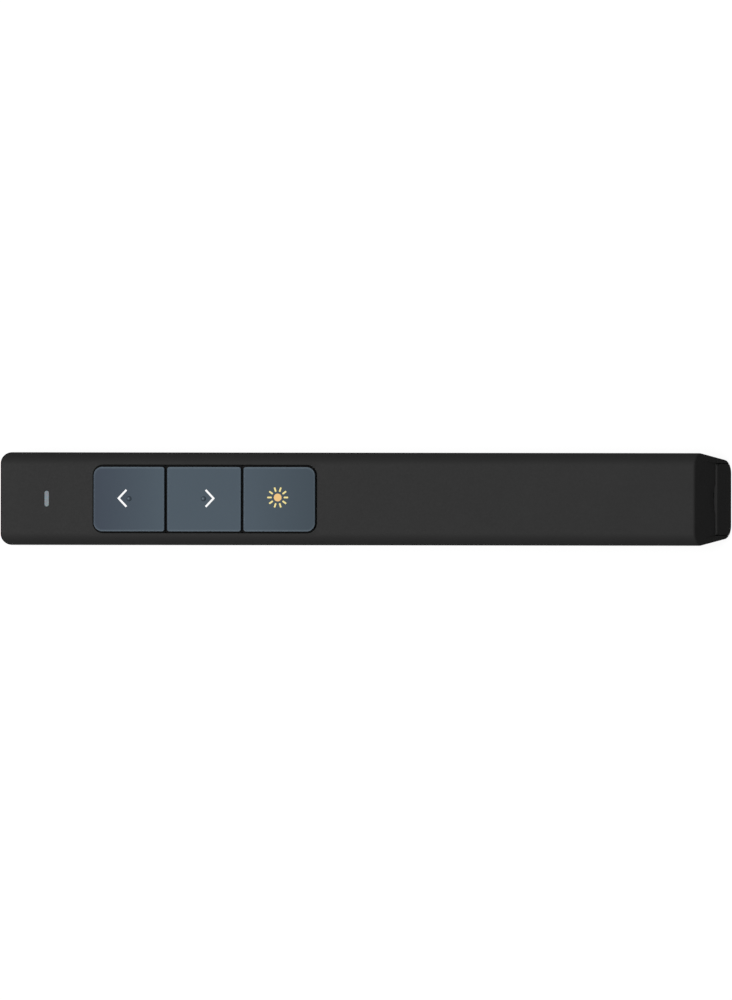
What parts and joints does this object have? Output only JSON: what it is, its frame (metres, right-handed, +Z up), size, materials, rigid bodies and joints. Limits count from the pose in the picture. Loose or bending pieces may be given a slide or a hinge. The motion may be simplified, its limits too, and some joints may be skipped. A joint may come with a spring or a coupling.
{
  "type": "wireless presentation clicker",
  "caption": "Slim battery-powered presentation pointer with three thumb keys, a laser in its front face, a side power switch and a USB receiver that stows in its slanted tail.",
  "frame": {"origin": "centre of the bounding box's bottom, on the flat underside", "axes": "+X along the body from the laser end to the tail, +Y across, +Z up out of the keys"},
  "size_m": [0.135, 0.0172, 0.0147],
  "materials": {
    "case_plastic": "moulded ABS, fine satin texture",
    "key_plastic": "moulded ABS, satin, blue-grey",
    "white_ink": "pad-printed white",
    "orange_ink": "pad-printed orange",
    "yellow_ink": "pad-printed yellow",
    "light_guide": "milky acrylic light guide",
    "window": "dark red acrylic window",
    "lens": "clear acrylic lens",
    "brass": "turned brass",
    "steel": "nickel-plated steel",
    "gold": "gold-plated contact",
    "board": "glass-fibre board, green solder mask",
    "black_plastic": "black nylon",
    "knob_plastic": "black ABS",
    "red_plastic": "red nylon plunger",
    "wire_red": "insulated wire",
    "led": "cast epoxy",
    "ceramic_part": "ceramic chip part",
    "cell_sleeve": "shrink sleeve, plain green",
    "white_plastic": "white nylon tongue"
  },
  "bodies": {
    "case": {"upper_case": "case_plastic", "lower_case": "case_plastic", "case_screws": "steel", "status_light_pipe": "light_guide", "laser_window": "window", "laser_barrel": "brass", "laser_lens": "lens", "laser_driver_board": "board", "laser_leads": "wire_red", "main_board": "board", "board_screws": "steel", "status_led": "led", "radio_chip": "black_plastic", "crystal_can": "steel", "board_parts": "ceramic_part", "previous_switch_body": "black_plastic", "next_switch_body": "black_plastic", "laser_switch_body": "black_plastic", "previous_switch_cover": "steel", "next_switch_cover": "steel", "laser_switch_cover": "steel", "power_switch_body": "steel", "battery_cell": "steel", "battery_sleeve": "cell_sleeve", "positive_contact": "steel", "negative_contact": "steel", "negative_spring": "steel"},
    "previous_key": {"previous_key": "key_plastic", "previous_mark": "white_ink"},
    "next_key": {"next_key": "key_plastic", "next_mark": "white_ink"},
    "laser_key": {"laser_key": "key_plastic", "laser_mark_disc": "orange_ink", "laser_mark_rays": "yellow_ink"},
    "previous_plunger": {"previous_switch_plunger": "red_plastic"},
    "next_plunger": {"next_switch_plunger": "red_plastic"},
    "laser_plunger": {"laser_switch_plunger": "red_plastic"},
    "knob": {"power_switch_knob": "knob_plastic"},
    "actuator": {"power_switch_actuator": "black_plastic"},
    "door": {"battery_door": "case_plastic"},
    "receiver": {"receiver_cap": "case_plastic", "usb_shell": "steel", "usb_tongue": "white_plastic", "usb_contacts": "gold", "receiver_board": "board", "receiver_chip": "black_plastic"}
  },
  "joints": [
    {"name": "previous_press", "type": "slide", "parent": "case", "child": "previous_key", "axis": [0, 0, -1], "range_m": [0, 0.0003], "stiffness_N_per_m": 900, "springref_m": -0.0004},
    {"name": "previous_click", "type": "slide", "parent": "case", "child": "previous_plunger", "axis": [0, 0, -1], "range_m": [0, 0.0003]},
    {"name": "next_press", "type": "slide", "parent": "case", "child": "next_key", "axis": [0, 0, -1], "range_m": [0, 0.0003], "stiffness_N_per_m": 900, "springref_m": -0.0004},
    {"name": "next_click", "type": "slide", "parent": "case", "child": "next_plunger", "axis": [0, 0, -1], "range_m": [0, 0.0003]},
    {"name": "laser_press", "type": "slide", "parent": "case", "child": "laser_key", "axis": [0, 0, -1], "range_m": [0, 0.0003], "stiffness_N_per_m": 900, "springref_m": -0.0004},
    {"name": "laser_click", "type": "slide", "parent": "case", "child": "laser_plunger", "axis": [0, 0, -1], "range_m": [0, 0.0003]},
    {"name": "power_slide", "type": "slide", "parent": "case", "child": "knob", "axis": [1, 0, 0], "range_m": [0, 0.002]},
    {"name": "power_contact", "type": "slide", "parent": "case", "child": "actuator", "axis": [1, 0, 0], "range_m": [0, 0.002]},
    {"name": "door_swing", "type": "hinge", "parent": "case", "child": "door", "pos_m": [-0.00758, 0, 0.00065], "axis": [0, 1, 0], "range_deg": [0, 40]},
    {"name": "receiver_pull", "type": "slide", "parent": "case", "child": "receiver", "axis": [1, 0, 0], "range_m": [0, 0.019]}
  ],
  "couplings": [
    {"joint": "previous_click", "follows": "previous_press", "ratio": 1},
    {"joint": "next_click", "follows": "next_press", "ratio": 1},
    {"joint": "laser_click", "follows": "laser_press", "ratio": 1},
    {"joint": "power_contact", "follows": "power_slide", "ratio": 1}
  ]
}
